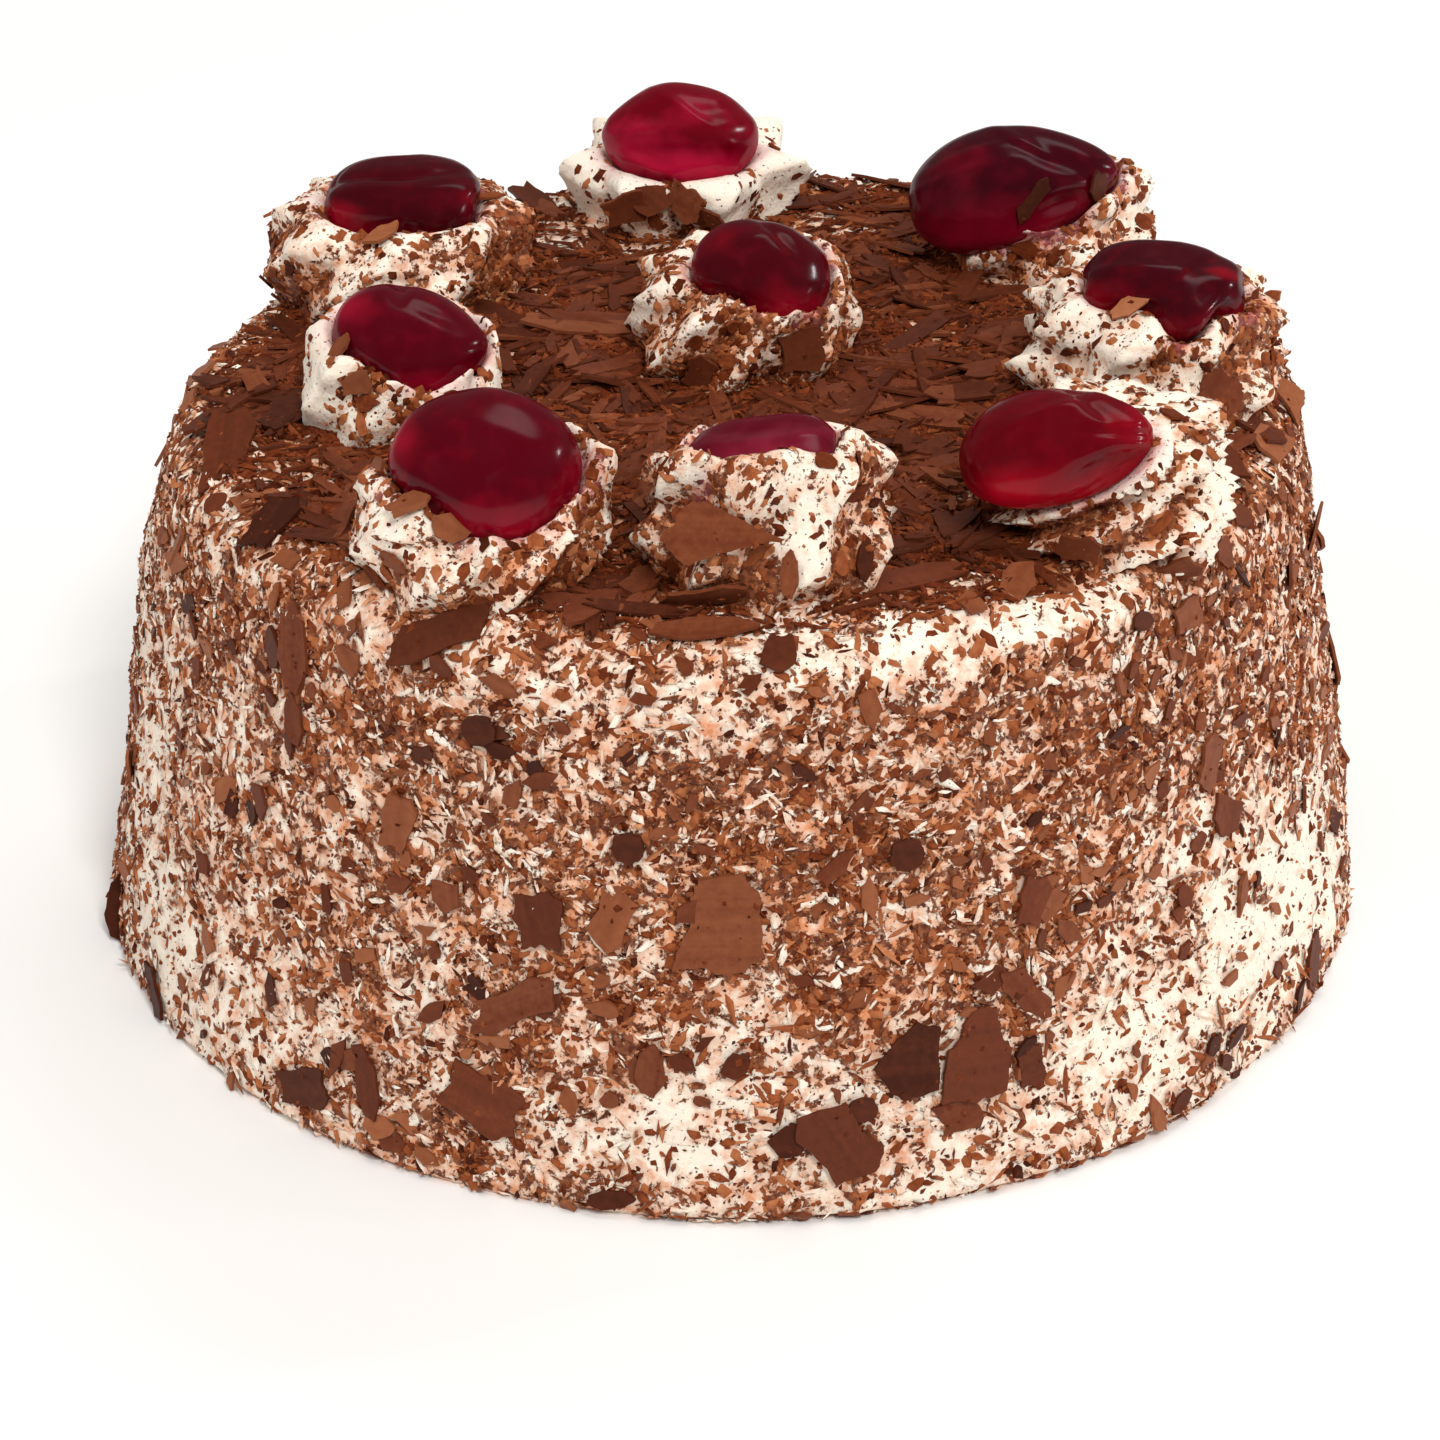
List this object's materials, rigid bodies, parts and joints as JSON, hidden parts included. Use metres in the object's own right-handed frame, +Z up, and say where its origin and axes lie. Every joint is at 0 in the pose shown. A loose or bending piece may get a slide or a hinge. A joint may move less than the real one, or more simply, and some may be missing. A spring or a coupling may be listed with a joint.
{
  "type": "black forest cake",
  "caption": "Small round cream cake coated in chocolate shavings, with a ring of piped cream rosettes and one near the middle, each topped with a glazed cherry.",
  "frame": {"origin": "middle of the flat underside, on the surface the cake stands on", "axes": "+Z up through the middle of the cake, -Y towards the front, +X to the right seen from the front"},
  "size_m": [0.1597, 0.1606, 0.0886],
  "materials": {
    "shaved_frosting": "soft whipped cream under a dense coat of thin milk chocolate shavings, matt",
    "piped_cream": "piped whipped cream with a faint moist sheen, flecked with chocolate",
    "glazed_cherry": "dark red cherry in a wet clear glaze, high gloss",
    "chocolate_shavings": "thin milk chocolate shavings, satin on their cut faces and darker at their edges"
  },
  "bodies": {
    "root": {"cake_body": "shaved_frosting", "cream_rosette_1": "piped_cream", "cream_rosette_2": "piped_cream", "cream_rosette_3": "piped_cream", "cream_rosette_4": "piped_cream", "cream_rosette_5": "piped_cream", "cream_rosette_6": "piped_cream", "cream_rosette_7": "piped_cream", "cream_rosette_8": "piped_cream", "cream_rosette_9": "piped_cream", "glazed_cherry_1": "glazed_cherry", "glazed_cherry_2": "glazed_cherry", "glazed_cherry_3": "glazed_cherry", "glazed_cherry_4": "glazed_cherry", "glazed_cherry_5": "glazed_cherry", "glazed_cherry_6": "glazed_cherry", "glazed_cherry_7": "glazed_cherry", "glazed_cherry_8": "glazed_cherry", "glazed_cherry_9": "glazed_cherry"}
  },
  "joints": []
}
